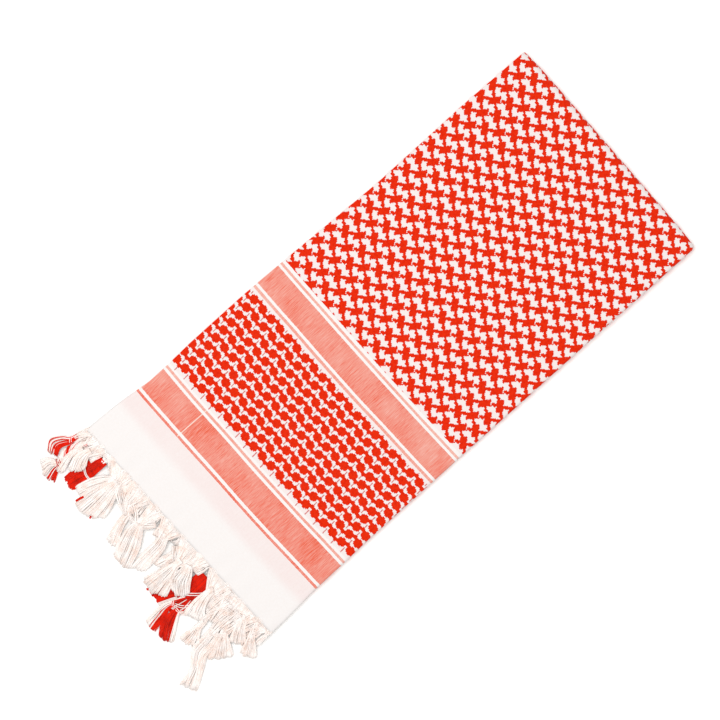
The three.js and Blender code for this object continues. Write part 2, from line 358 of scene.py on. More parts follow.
# The woven pattern, in millimetres of the flat cloth, charted in whole threads. mainAt and smallAt are
# rounded from measurements, and stripeSkew and the two bows are one-figure roundings of fitted values.
pattern = {
    "white": "#e1dddb",
    "whiteShade": "#dfd8d4",
    "red": "#d42806",
    "redDeep": "#b71303",
    "redLight": "#dd4629",
    "bandRed": "#d6441a",  # red weft seen through white warp
    "bandWhite": "#e2d3c8",
    "thread": 1.045,  # drawn two threads wide, so that the stepped edges show
    "halfLength": 559.8,  # from the fringe edge to the middle of the cloth
    "rowSlope": 0.06,  # the rows climb towards the fold end
    "stripeSkew": 0.01,  # the stripes run a little askew, and bow
    "stripeBow": 0.0001,
    "haze": (34, 46, 60),  # where a faint tone before the bands starts, is full, and ends
    "hazeTone": 0.09,
    "fieldTone": 0.08,  # the white ground of both fields is a little toned
    "slubAt": (80, 70),
    "mainFrom": 250.9,
    "mainBow": 0.0001,
    "mainRepeat": 16.72,  # 16 threads
    "mainRows": 25.08,  # two rows of blocks, 24 threads
    "mainAt": (328, 15),
    "mainSlopeFrom": 400,  # where along the cloth mainAt gives the rows' height
    "blockSlope": 0.8,
    "blockHalfWidth": 4.45,
    "blockHalfLength": 7.75,
    "mirrorShift": 7.84,  # seven threads and a half
    "smallRepeat": 10.45,  # 10 threads
    "smallRows": 12.54,  # 12 threads
    "smallAt": (119, 16),
    "smallSlopeFrom": 156,  # where along the cloth smallAt gives the rows' height
    "smallMiddle": 155.9,  # the small field's middle along the cloth, and half the lengths that it fills
    "beadReach": 52.2,
    "smallReach": 55,
    "dashMiddle": 154,
    "dashReach": 54.6,
    "beadHalf": (4.6, 4.8),
    "neckShift": 2.9,
    "neckHalfWidth": 2.05,
    "neckHalfLength": 2.8,
    "dashLength": 5.6,
    "dashHalfWidth": 0.95,
}

# Stripes across the cloth near each fringe: from, to, share of red. The edges are rounded from averaged
# tone profiles.
stripes = [
    (59.5, 62.1, 0.72), (65.2, 92.7, 0.72), (95.6, 98.2, 0.55),
    (210.7, 213.5, 0.55), (216.3, 242.3, 0.68), (245, 247.5, 0.5),
]


def blockRows(tree, x, y):  # the main field: slanted blocks, mirrored row by row and tied by thin links
    repeat, rows = pattern["mainRepeat"], pattern["mainRows"]
    slope = pattern["blockSlope"]
    best = None
    for mirror, shift, drop in ((1, 0, 0), (-1, pattern["mirrorShift"], rows / 2)):
        fromX = addNode(tree, "Math", (x, shift), operation="SUBTRACT")
        wrapX = addNode(tree, "Math", (fromX, repeat / 2, -repeat / 2), operation="WRAP")
        blockX = addNode(tree, "Math", (wrapX, mirror), operation="MULTIPLY")
        fromY = addNode(tree, "Math", (y, drop), operation="SUBTRACT")
        blockY = addNode(tree, "Math", (fromY, rows / 2, -rows / 2), operation="WRAP")
        # each part of a block: slope, offset, half width, then where it sits along x and its half reach
        parts = [
            (-slope, 0, pattern["blockHalfWidth"], slope, 0, pattern["blockHalfLength"]),
            (-0.588, 4.3, 0.55, None, 5.4, 3.3),
            (-0.588, 4.3, 2.6, None, 5.7, 1.9),
            (0.667, 3.27, 0.55, None, -2.9, 2.6),
            (0.667, 3.27, 2.5, None, -3.5, 1.8),
        ]
        for lean, lift, halfWidth, otherLean, centre, halfReach in parts:
            tilted = addNode(tree, "Math", (blockX, lean, blockY), operation="MULTIPLY_ADD")
            offset = addNode(tree, "Math", (tilted, lift), operation="ADD")
            away = addNode(tree, "Math", (offset,), operation="ABSOLUTE")
            inWidth = addNode(tree, "Math", (halfWidth, away), operation="SUBTRACT")
            if otherLean is None:
                run = addNode(tree, "Math", (blockX, centre), operation="ADD")
            else:
                run = addNode(tree, "Math", (blockX, otherLean, blockY), operation="MULTIPLY_ADD")
            runAway = addNode(tree, "Math", (run,), operation="ABSOLUTE")
            inReach = addNode(tree, "Math", (halfReach, runAway), operation="SUBTRACT")
            rounding = 1.8 if otherLean else 1
            part = addNode(tree, "Math", (inWidth, inReach, rounding), operation="SMOOTH_MIN")
            best = part if best is None else addNode(tree, "Math", (best, part), operation="MAXIMUM")
    return addNode(tree, "Math", (best, 0), operation="GREATER_THAN")


# The small field: chains of beads on leaning necks, with a dash at each neck
def beadChains(tree, x, y, along):
    repeat, rows = pattern["smallRepeat"], pattern["smallRows"]
    beadX = addNode(tree, "Math", (x, repeat / 2, -repeat / 2), operation="WRAP")
    rowY = addNode(tree, "Math", (y, rows / 2, -rows / 2), operation="WRAP")
    rowsUp = addNode(tree, "Math", (y, 1 / rows), operation="MULTIPLY")
    rowNumber = addNode(tree, "Math", (rowsUp,), operation="FLOOR")
    parity = addNode(tree, "Math", (rowNumber, 2), operation="FLOORED_MODULO")
    lean = addNode(tree, "Math", (parity, 2, -1), operation="MULTIPLY_ADD")  # which way this neck leans
    halfX, halfY = pattern["beadHalf"]
    acrossX = addNode(tree, "Math", (beadX, 1 / halfX), operation="MULTIPLY")
    acrossY = addNode(tree, "Math", (rowY, 1 / halfY), operation="MULTIPLY")
    squareX = addNode(tree, "Math", (acrossX, 2), operation="POWER")
    radius = addNode(tree, "Math", (acrossY, acrossY, squareX), operation="MULTIPLY_ADD")
    bead = addNode(tree, "Math", (radius, 1), operation="LESS_THAN")
    rowAway = addNode(tree, "Math", (rowY,), operation="ABSOLUTE")
    fromNeck = addNode(tree, "Math", (rows / 2, rowAway), operation="SUBTRACT")
    neckX = addNode(tree, "Math", (fromNeck, -0.5, pattern["neckShift"]), operation="MULTIPLY_ADD")
    leanX = addNode(tree, "Math", (beadX, lean), operation="MULTIPLY")
    neckNear = addNode(tree, "Math", (leanX, neckX, pattern["neckHalfWidth"]), operation="COMPARE")
    neckTall = addNode(tree, "Math", (fromNeck, pattern["neckHalfLength"]), operation="LESS_THAN")
    neck = addNode(tree, "Math", (neckNear, neckTall), operation="MINIMUM")
    chain = addNode(tree, "Math", (bead, neck), operation="MAXIMUM")
    chainZone = addNode(tree, "Math", (along, pattern["smallMiddle"], pattern["beadReach"]),
                        operation="COMPARE")
    chain = addNode(tree, "Math", (chain, chainZone), operation="MULTIPLY")
    leanRun = addNode(tree, "Math", (x, lean, -pattern["neckShift"]), operation="MULTIPLY_ADD")
    dashRun = addNode(tree, "Math", (leanRun, repeat), operation="FLOORED_MODULO")
    dashShort = addNode(tree, "Math", (dashRun, pattern["dashLength"]), operation="LESS_THAN")
    dashThin = addNode(tree, "Math", (fromNeck, pattern["dashHalfWidth"]), operation="LESS_THAN")
    dash = addNode(tree, "Math", (dashShort, dashThin), operation="MINIMUM")
    dashCentre = addNode(tree, "Math", (lean, 1, pattern["dashMiddle"]), operation="MULTIPLY_ADD")
    dashZone = addNode(tree, "Math", (along, dashCentre, pattern["dashReach"]), operation="COMPARE")
    dash = addNode(tree, "Math", (dash, dashZone), operation="MULTIPLY")
    return chain, dash


def checkedCotton():
    # Red-dyed floats on bleached spun cotton: a matt raised pattern with stepped, slightly fuzzy edges
    material, tree = newMaterial("red and white jacquard cotton")
    place = addNode(tree, "UVMap", uv_map="flat cloth")
    metres = addNode(tree, "SeparateXYZ", (place,))
    acrossMetres = metres.node.outputs[1]
    ruffle = addNode(tree, "TexNoise", {"Vector": place, "Scale": 700, "Detail": 1}, output=0)
    along = addNode(tree, "Math", (metres, 1000), operation="MULTIPLY")
    across = addNode(tree, "Math", (acrossMetres, 1000), operation="MULTIPLY")
    fromEdge = addNode(tree, "Math", (along, pattern["halfLength"]), operation="PINGPONG")
    drift = addNode(tree, "TexNoise", {"Vector": place, "Scale": 9, "Detail": 1})
    driftBy = addNode(tree, "Math", (drift, 2.6, -1.3), operation="MULTIPLY_ADD")
    ruffleBy = addNode(tree, "Math", (ruffle, 0.9, -0.45), operation="MULTIPLY_ADD")
    moved = addNode(tree, "Math", (driftBy, ruffleBy), operation="ADD")
    squared = addNode(tree, "Math", (across, 2), operation="POWER")
    skewBy = addNode(tree, "Math", (across, pattern["stripeSkew"], moved), operation="MULTIPLY_ADD")
    bowBy = addNode(tree, "Math", (squared, -pattern["stripeBow"], skewBy), operation="MULTIPLY_ADD")
    stripeAt = addNode(tree, "Math", (fromEdge, bowBy), operation="ADD")
    mainBy = addNode(tree, "Math", (squared, -pattern["mainBow"], moved), operation="MULTIPLY_ADD")
    mainAlong = addNode(tree, "Math", (along, mainBy), operation="ADD")
    level = addNode(tree, "Math", (across, ruffleBy), operation="ADD")
    smallClimb = addNode(tree, "Math", (fromEdge, -pattern["rowSlope"], level), operation="MULTIPLY_ADD")
    mainClimb = addNode(tree, "Math", (along, -pattern["rowSlope"], level), operation="MULTIPLY_ADD")

    def threads(value, start):  # counts whole threads from a start, so that edges step
        shifted = addNode(tree, "Math", (value, start), operation="SUBTRACT")
        return addNode(tree, "Math", (shifted, pattern["thread"]), operation="SNAP")

    mainX, mainY = pattern["mainAt"]
    mainStart = mainY - pattern["rowSlope"] * pattern["mainSlopeFrom"]
    blocks = blockRows(tree, threads(mainAlong, mainX), threads(mainClimb, mainStart))
    mainZone = addNode(tree, "Math", (stripeAt, pattern["mainFrom"]), operation="GREATER_THAN")
    blocks = addNode(tree, "Math", (blocks, mainZone), operation="MULTIPLY")
    smallX, smallY = pattern["smallAt"]
    smallStart = smallY - pattern["rowSlope"] * pattern["smallSlopeFrom"]
    chain, dash = beadChains(tree, threads(stripeAt, smallX), threads(smallClimb, smallStart), stripeAt)
    solid = addNode(tree, "Math", (blocks, chain), operation="MAXIMUM")

    tone = 0.0
    for low, high, strength in stripes:
        band = addNode(tree, "Math", (stripeAt, (low + high) / 2, (high - low) / 2), operation="COMPARE")
        tone = addNode(tree, "Math", (band, strength, tone), operation="MULTIPLY_ADD")
    inBand = addNode(tree, "Math", (tone, 0.2), operation="GREATER_THAN")
    hazeStart, hazeFull, hazeEnd = pattern["haze"]
    hazeRise = addNode(tree, "MapRange", (stripeAt, hazeStart, hazeFull, 0, pattern["hazeTone"]),
                       interpolation_type="SMOOTHSTEP")
    hazeZone = addNode(tree, "Math", (stripeAt, hazeEnd), operation="LESS_THAN")
    tone = addNode(tree, "Math", (hazeRise, hazeZone, tone), operation="MULTIPLY_ADD")
    inSmall = addNode(tree, "Math", (stripeAt, pattern["smallMiddle"], pattern["smallReach"]),
                      operation="COMPARE")
    inFields = addNode(tree, "Math", (inSmall, mainZone), operation="ADD")
    tone = addNode(tree, "Math", (inFields, pattern["fieldTone"], tone), operation="MULTIPLY_ADD")
    lengthened = addNode(tree, "VectorMath", (place, (45, 1000, 1)), operation="MULTIPLY")
    streaks = addNode(tree, "TexNoise", {"Vector": lengthened, "Scale": 1.5, "Detail": 2.5,
                                         "Roughness": 0.75})
    clouds = addNode(tree, "TexNoise", {"Vector": place, "Scale": 26, "Detail": 2})
    streakBy = addNode(tree, "Math", (streaks, 1.7, 0.15), operation="MULTIPLY_ADD")
    cloudBy = addNode(tree, "Math", (clouds, 0.7, 0.65), operation="MULTIPLY_ADD")
    uneven = addNode(tree, "Math", (streakBy, cloudBy), operation="MULTIPLY")
    slubAlong, slubAcross = pattern["slubAt"]  # one thick white thread in the bands
    slubNear = addNode(tree, "Math", (across, slubAcross, 0.5), operation="COMPARE")
    slubRun = addNode(tree, "Math", (along, slubAlong, 20), operation="COMPARE")
    slub = addNode(tree, "Math", (slubNear, slubRun), operation="MULTIPLY")
    unslubbed = addNode(tree, "Math", (slub, -0.8, 1), operation="MULTIPLY_ADD")
    toned = addNode(tree, "Math", (tone, uneven), operation="MULTIPLY", use_clamp=True)
    toned = addNode(tree, "Math", (toned, unslubbed), operation="MULTIPLY")

    fibre = addNode(tree, "TexNoise", {"Vector": place, "Scale": 420, "Detail": 3, "Roughness": 0.7})
    whiteMix = addNode(tree, "MapRange", (fibre, 0.35, 0.7, 0, 0.6))
    white = blend(tree, whiteMix, linearColour(pattern["white"]), linearColour(pattern["whiteShade"]))
    redMix = addNode(tree, "MapRange", (fibre, 0.46, 0.72, 0, 0.8))
    red = blend(tree, redMix, linearColour(pattern["red"]), linearColour(pattern["redDeep"]))
    lightMix = addNode(tree, "MapRange", (streaks, 0.62, 0.8, 0, 0.5))
    red = blend(tree, lightMix, red, linearColour(pattern["redLight"]))
    bandMix = blend(tree, toned, linearColour(pattern["bandWhite"]), linearColour(pattern["bandRed"]))
    plainMix = blend(tree, toned, white, red)
    colour = blend(tree, inBand, plainMix, bandMix)
    dashShare = addNode(tree, "Math", (dash, 0.8), operation="MULTIPLY")
    colour = blend(tree, dashShare, colour, linearColour(pattern["redDeep"]))
    colour = blend(tree, solid, colour, red)

    step = math.pi / pattern["thread"]
    warpTurn = addNode(tree, "Math", (along, step), operation="MULTIPLY")
    weftTurn = addNode(tree, "Math", (across, step), operation="MULTIPLY")
    warpWave = addNode(tree, "Math", (warpTurn,), operation="SINE")
    weftWave = addNode(tree, "Math", (weftTurn,), operation="SINE")
    weave = addNode(tree, "Math", (warpWave, weftWave), operation="MULTIPLY")
    raised = addNode(tree, "Math", (weave, 0.35, solid), operation="MULTIPLY_ADD")
    fuzzy = addNode(tree, "Math", (fibre, 0.8, raised), operation="MULTIPLY_ADD")
    bump = addNode(tree, "Bump", {"Strength": 0.55, "Distance": 0.00022, "Height": fuzzy})
    cotton = addNode(tree, "BsdfPrincipled", {
        "Base Color": colour, "Roughness": 0.88, "Specular IOR Level": 0.06,
        "Sheen Weight": 0.05, "Sheen Roughness": 0.5, "Normal": bump})
    addNode(tree, "OutputMaterial", {"Surface": cotton})
    return material


foldedCloth, flatWidth, flatLength = buildCloth()
foldedCloth.data.materials.append(checkedCotton())
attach(foldedCloth, "root")
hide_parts("face_stretch", "end_fold", "under_stretch", "hidden_layers")
print("cloth folded", round(flatWidth, 3), round(flatLength, 3))

# The fringe: unwoven warp ends, gathered and knotted into tassels. Heights fall away from the cloth's edge.
fringe = {
    "yarnRadius": 0.45,
    "bedHeight": 9.7,
    "bedReach": 26,
    "knotYarns": 5,
    "knotRadius": 2.4,
    "wave": 0.42,
    "waveLength": 9,
    "clumps": 9,
    "clumpPull": 0.16,
    "rootSpacing": 0.62,
    "lowerSpacing": 0.8,
    "white": "#f3ece8",
    # the yarns' shade colours are painted shade, blended into each yarn in noise tufts
    "whiteShade": "#e8d0c3",
    "red": "#dc1f05",
    "redPaintedShade": "#a81003",
}

# Each gather draws the yarns between two places on the edge to one knot: the knot's place, from, to, lift
gathers = [
    ((-13, 134.5), 134, 125, 1), ((-10, 123), 127, 115, 1.5), ((-15, 113), 118, 104, 1.5),
    ((-9, 99), 107, 92, -2), ((-15, 79), 103, 80, 1.5), ((-16, 75), 90, 66, 1.8),
    ((-20, 52), 67, 38, 0.8), ((-26, 31), 39, 21, 1), ((-16, 7), 23, -5, 1),
    ((-20, -23), -4, -34, 1.5), ((-17, -31), -27, -44, 1.5), ((-17, -63.5), -45, -72, 1),
    ((-16, -82), -70, -88, 1), ((-17, -90), -82, -97, 1.8), ((-15, -100), -92, -106, 1.4),
    ((-10, -106), -103, -115, 1), ((-9, -120), -113, -131, 1), ((-5, -131), -128, -133, 0),
]

# Bundles that run on from a gather to a tassel: their route, width, yarns, lift, red ones among them
bundles = [
    (((-13, 76.5), (-18, 68), (-22, 57), (-25, 45)), 10, 40, 1.2, 0),
    (((-18, 55), (-22, 50), (-25.5, 44)), 8, 26, 1, 0),
    (((-25, 46), (-27, 39), (-28, 31)), 4.5, 14, 0.4, 0),
    (((-17, 50), (-20, 41), (-26, 32)), 5, 14, 0.2, 0),
    (((-12, 20), (-18, 24), (-26, 29)), 7, 20, 0.8, 0),
    (((-12, -8), (-18, -15), (-22, -22)), 8, 24, 0.8, 0),
    (((-12, -82), (-24, -80.5), (-36, -80), (-43, -82)), 8, 26, 0.6, 0),
    (((-12, -90), (-22, -92), (-33, -95), (-42, -99)), 15, 56, 1.8, 0),
    (((-9, -84), (-20, -86), (-33, -91)), 14, 44, 1, 0),
    (((-8, -99), (-20, -100), (-31, -101)), 12, 40, 1.6, 0),
    (((-18, -63), (-26, -58.5), (-36, -49.5)), 2.6, 2, 1, 0),
    (((-26, -62.5), (-38, -66), (-49, -63), (-54, -50)), 3, 3, 1.8, 0),
    (((-24, -61), (-36, -63), (-46, -57), (-51, -49)), 2.6, 2, 1.8, 0),
    (((-44, -47), (-52, -43.5), (-62, -39.5)), 2.6, 3, 1.6, 0),
    (((-36, -58), (-46, -60), (-53, -58)), 6, 14, 0.8, 0.7),
    (((-38, -52), (-46, -50), (-53, -48.5)), 6, 14, 0.8, 0.7),
    (((-26, 110), (-31, 102), (-32, 94)), 1.6, 2, 0.6, 0),
    (((1, 62), (-10, 60), (-20, 56)), 14, 50, -1.5, 0),
    (((1, 72), (-10, 70), (-20, 66)), 12, 42, -1.2, 0),
    (((1, 46), (-10, 45), (-20, 42)), 12, 42, -1.2, 0),
    (((1, 128), (-8, 130), (-19, 132)), 12, 42, -1.4, 0),
    (((1, 108), (-9, 110), (-19, 112)), 12, 42, -1.4, 0),
    (((1, -40), (-8, -40), (-15, -41)), 12, 42, -1.4, 0),
    (((-10, -70), (-22, -71), (-34, -72)), 10, 34, -1.4, 0),
    (((0, -121), (-9, -121), (-19, -120)), 12, 40, -1.4, 0),
    (((0, 119), (-12, 120), (-24, 121)), 12, 44, -1.5, 0),
    (((0, -71), (-14, -72), (-27, -75)), 12, 44, -1.5, 0),
    (((0, -77), (-18, -78), (-36, -80)), 8, 30, -0.5, 0),
    (((0, -112), (-9, -112), (-17, -113)), 12, 40, -1.5, 0),
    (((0, 26), (-10, 27), (-20, 28)), 12, 40, -1.5, 0),
    (((0, 13), (-10, 13), (-20, 10)), 10, 34, -1.5, 0),
    (((-47, 86.5), (-51, 87.6), (-55.5, 88.4)), 1.6, 3, 3, 1),
    (((-54, 67.8), (-56.5, 66.6)), 1.2, 2, 3.4, 1),
]

# Each tassel: its centre line with width and thickness, the two corners of its cut end, how far the end
# bulges, the shares of its width that are red, the station its knot sits on, its lift and its yarns
tassels = [
    {"name": "01", "line": [(-12, 134.5, 4, 3), (-20, 136, 6, 3.6), (-26, 140, 10, 3.4),
                            (-34, 143, 14, 2.6)],
     "end": ((-43.5, 144), (-39.5, 133.5)), "bulge": 1, "red": [(0.66, 1)], "mixed": 0.45, "knot": 1,
     "lift": 0.6, "yarns": 46, "slot": "red_white_yarn"},
    {"name": "02", "line": [(-10, 123, 5, 4), (-21, 129, 6, 4.4), (-30, 130.5, 6, 4.4), (-38, 129, 6, 4.4),
                            (-43, 128, 7, 4.6), (-49, 130, 18, 3.6)],
     "end": ((-54, 142), (-58.5, 116)), "bulge": 6, "red": [(0.64, 0.76), (0.82, 1)], "knot": 4,
     "twist": 1.7,
     "mixed": 0.04, "lift": 0.8, "yarns": 66, "slot": "red_white_yarn"},
    {"name": "03", "line": [(-12, 115, 5, 3.6), (-17, 116, 8, 4), (-25, 115.5, 14, 3.4)],
     "end": ((-39.5, 116.5), (-26, 106)), "bulge": 3.5, "red": [], "knot": None, "lift": 3.2, "yarns": 52,
     "slot": "white_yarn"},
    {"name": "03", "line": [(-16, 122, 4, 3), (-25, 125, 5, 3.4), (-35, 124.5, 6, 3)],
     "end": ((-49, 124), (-46.5, 117.5)), "bulge": 1, "red": [], "knot": None, "lift": 2.6, "yarns": 22,
     "slot": "white_yarn"},
    {"name": "04", "line": [(-9, 101, 12, 2.4), (-20, 102, 14, 2.6), (-34, 103.5, 17, 2.6),
                            (-42, 105, 17, 2.4)],
     "end": ((-48, 113), (-51, 98)), "bulge": 1, "red": [(0, 1)], "knot": None, "lift": -1.5, "yarns": 70,
     "slot": "red_yarn"},
    {"name": "05", "line": [(-14, 81, 5, 3), (-22, 86, 8, 3.4), (-33, 91, 10, 3)],
     "end": ((-45.5, 100), (-48.5, 89)), "bulge": 1, "red": [], "knot": None, "lift": 1, "yarns": 42,
     "slot": "white_yarn"},
    {"name": "06", "line": [(-13, 75.5, 9, 4), (-23, 75, 18, 5), (-37, 73.5, 27, 4.4)],
     "end": ((-55.5, 89), (-46, 57.5)), "bulge": 7, "red": [], "knot": None, "lift": 1.8, "yarns": 120,
     "slot": "white_yarn"},
    {"name": "07", "line": [(-25, 45, 5, 3.4), (-31, 44.5, 7, 3.6), (-44, 41, 10, 3)],
     "end": ((-58, 41.5), (-55.5, 27.5)), "bulge": 1.5, "red": [], "knot": 0, "lift": 0.6, "yarns": 42,
     "slot": "white_yarn"},
    {"name": "08", "line": [(-24, 31, 8, 4.4), (-32, 28.5, 16, 5), (-46, 22, 22, 4)],
     "end": ((-62.5, 25.5), (-59.5, 4.5)), "bulge": 3, "red": [], "knot": None, "lift": 1.4, "yarns": 90,
     "slot": "white_yarn"},
    {"name": "09", "line": [(-13, 6.5, 9, 4), (-23, 2.5, 12, 4.4), (-37, 1, 14, 3.6)],
     "end": ((-58, 5.5), (-49, -7)), "bulge": 2, "red": [], "knot": 0, "lift": 0.8, "yarns": 60,
     "slot": "white_yarn"},
    {"name": "10", "line": [(-13, -14, 7, 3), (-24, -13.5, 9, 3), (-31, -12, 11, 3)],
     "end": ((-39.5, -4), (-36, -17)), "bulge": 1, "red": [], "knot": None, "lift": -1, "yarns": 40,
     "slot": "white_yarn"},
    {"name": "11", "line": [(-17, -23, 8, 4.4), (-24, -22.5, 7, 4.8), (-34, -23.5, 16, 4.6)],
     "end": ((-56.5, -11), (-50, -39.5)), "bulge": 6, "red": [], "knot": 1, "lift": 1.8, "yarns": 92,
     "slot": "white_yarn"},
    {"name": "12", "line": [(-14, -31, 7, 4), (-21, -34, 13, 5), (-31, -37, 20, 5.4)],
     "end": ((-43, -37.5), (-31, -51)), "bulge": 6, "red": [], "knot": None, "lift": 2.4, "yarns": 84,
     "slot": "white_yarn"},
    {"name": "13", "line": [(-9, -53.5, 22, 2.4), (-22, -54, 24, 2.6), (-36, -53.5, 25, 2.6),
                            (-48, -46, 26, 2.4)],
     "end": ((-60.5, -21.5), (-61, -46)), "bulge": 0, "red": [(0, 1)], "mixed": 0, "knot": None,
     "lift": -1.5,
     "yarns": 104, "slot": "red_yarn"},
    {"name": "14", "line": [(-51, -48.5, 6, 3.6), (-58, -46.5, 8, 3.8), (-68, -48, 12, 3.2)],
     "end": ((-82, -43.5), (-82.5, -57)), "bulge": 1, "red": [(0.6, 1)], "mixed": 0.12, "knot": 0,
     "lift": 1.2,
     "yarns": 48, "slot": "red_white_yarn"},
    {"name": "15", "line": [(-52, -56, 6, 3.6), (-58, -57.5, 10, 4), (-67, -61, 15, 3.4)],
     "end": ((-82, -62), (-76, -76.5)), "bulge": 2, "red": [(0, 0.78)], "knot": 0, "lift": 1.4, "yarns": 62,
     "slot": "red_white_yarn"},
    {"name": "16", "line": [(-14, -63.5, 7, 3.6), (-23, -64, 9, 4.2), (-34, -66.5, 15, 3.6)],
     "end": ((-48.5, -61), (-36, -80)), "bulge": 3.5, "red": [(0.47, 0.49)], "knot": 0, "lift": 2.2,
     "yarns": 70, "slot": "white_yarn"},
    {"name": "17", "line": [(-40, -81.5, 6, 3.4), (-48, -82, 7, 3.6), (-56, -84.5, 13, 3.2)],
     "end": ((-68, -77), (-60, -95.5)), "bulge": 3, "red": [], "knot": 1, "lift": 0.6, "yarns": 54,
     "slot": "white_yarn"},
    {"name": "18", "line": [(-37, -97, 14, 4.4), (-50, -99.5, 16, 4.6), (-63, -101, 17, 4),
                            (-71, -107, 14, 4),
                            (-79, -112.5, 13, 3.6)],
     "end": ((-97, -111.5), (-89, -127)), "bulge": 2, "red": [], "knot": None, "crimp": 2.4, "lift": 1,
     "yarns": 78, "slot": "white_yarn"},
    {"name": "19", "line": [(-28, -100.5, 7, 3.6), (-34, -104, 8, 4), (-42, -110.5, 17, 3.4)],
     "end": ((-61, -110), (-39.5, -124.5)), "bulge": 3, "red": [], "knot": 1, "lift": 1, "yarns": 70,
     "slot": "white_yarn"},
    {"name": "20", "line": [(-8, -104, 8, 3.6), (-15, -107.5, 10, 4), (-22, -112, 13, 3.2)],
     "end": ((-34.5, -111.5), (-24, -124.5)), "bulge": 1.5, "red": [], "knot": 0, "lift": 0.8, "yarns": 56,
     "slot": "white_yarn"},
    {"name": "21", "line": [(-8, -119, 6, 3.4), (-15, -122.5, 6, 3.8), (-21, -127.5, 11, 3)],
     "end": ((-34, -127.5), (-25.5, -141.5)), "bulge": 1.5, "red": [], "knot": 1, "lift": 0.6, "yarns": 46,
     "slot": "white_yarn"},
    {"name": "22", "line": [(-3, -131, 3, 2), (-7, -131, 4, 2)],
     "end": ((-15.5, -128.5), (-16, -134)), "bulge": 0.5, "red": [], "knot": None, "lift": 0, "yarns": 16,
     "slot": "white_yarn"},
]


def restAt(x):
    return max(0, fringe["bedHeight"] * math.exp(-abs(x) / fringe["bedReach"]) - 1)


def smoothRun(stations, count):  # a soft run through stations, however many numbers each holds
    stations = np.array(stations, float)
    padded = np.vstack([2 * stations[0] - stations[1], stations, 2 * stations[-1] - stations[-2]])
    places = []
    for at in np.linspace(0, len(stations) - 1, count):
        first = min(int(at), len(stations) - 2)
        t = at - first
        a, b, c, d = padded[first:first + 4]
        places.append((2 * b + (c - a) * t + (2 * a - 5 * b + 4 * c - d) * t ** 2
                       + (3 * b - a - 3 * c + d) * t ** 3) / 2)
    return np.array(places)


def newStrands(name):
    curve = bpy.data.curves.new(name, "CURVE")
    curve.dimensions = "3D"
    curve.bevel_depth = fringe["yarnRadius"] / 1000
    curve.bevel_resolution = 1
    curve.use_fill_caps = True
    curve.materials.append(whiteYarn)
    curve.materials.append(redYarn)
    return curve


def addStrand(curve, places, red=False, closed=False):
    strand = curve.splines.new("POLY")
    strand.points.add(len(places) - 1)
    for spot, (x, y, z) in zip(strand.points, places):
        spot.co = (*toFrame(x, y, max(z, fringe["yarnRadius"] + 0.05)), 1)
    strand.use_cyclic_u = closed
    strand.use_smooth = True
    strand.material_index = 1 if red else 0


def asPiece(curve, name, node):
    tubes = bpy.data.objects.new(name + " tubes", curve)
    bpy.context.scene.collection.objects.link(tubes)
    mesh = bpy.data.meshes.new_from_object(tubes)
    bpy.data.objects.remove(tubes)
    shape = bmesh.new()
    shape.from_mesh(mesh)
    bmesh.ops.remove_doubles(shape, verts=shape.verts, dist=0.000002)
    bmesh.ops.recalc_face_normals(shape, faces=shape.faces)
    shape.to_mesh(mesh)
    shape.free()
    piece = bpy.data.objects.new(name, mesh)
    bpy.context.scene.collection.objects.link(piece)
    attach(piece, "root")
    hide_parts(node)
    return piece


def spunYarn(name, colour, shade):
    # Soft-spun cotton, matt and faintly hairy, with warmer, darker tufts of painted shade laid by noise, as
    # if the yarns shade each other
    material, tree = newMaterial(name)
    place = addNode(tree, "TexCoord", output=3)
    fibre = addNode(tree, "TexNoise", {"Vector": place, "Scale": 900, "Detail": 2, "Roughness": 0.7})
    paintedShadeTufts = addNode(tree, "TexNoise", {"Vector": place, "Scale": 110, "Detail": 2})
    both = addNode(tree, "Math", (fibre, paintedShadeTufts), operation="MULTIPLY")
    share = addNode(tree, "MapRange", (both, 0.2, 0.4, 0, 0.9))
    # painted shade: the tufts blend each yarn towards its shade colour
    colour = blend(tree, share, linearColour(colour), linearColour(shade))
    bump = addNode(tree, "Bump", {"Strength": 0.3, "Distance": 0.00015, "Height": fibre})
    yarn = addNode(tree, "BsdfPrincipled", {
        "Base Color": colour, "Roughness": 0.9, "Specular IOR Level": 0.06,
        "Sheen Weight": 0.08, "Sheen Roughness": 0.5, "Normal": bump})
    addNode(tree, "OutputMaterial", {"Surface": yarn})
    return material


def knotYarns(curve, centre, run, dice, red):  # the yarns wrapped round a bundle where it is knotted
    x, y, z = centre
    turn = math.atan2(run[1], run[0])
    for wrap in range(fringe["knotYarns"]):
        shift = (wrap - (fringe["knotYarns"] - 1) / 2) * 0.85
        radius = fringe["knotRadius"] * (1 - 0.05 * abs(wrap - 2)) * dice.uniform(0.95, 1.05)
        lean = 0.35 + dice.uniform(-0.15, 0.15)
        loop = []
        for angle in np.linspace(0, 2 * math.pi, 13)[:-1]:
            out, up = radius * math.cos(angle), 0.85 * radius * math.sin(angle)
            along = shift + lean * out
            loop.append((x + along * math.cos(turn) - out * math.sin(turn),
                         y + along * math.sin(turn) + out * math.cos(turn), z + up))
        addStrand(curve, loop, red=red and wrap % 2 == 0, closed=True)


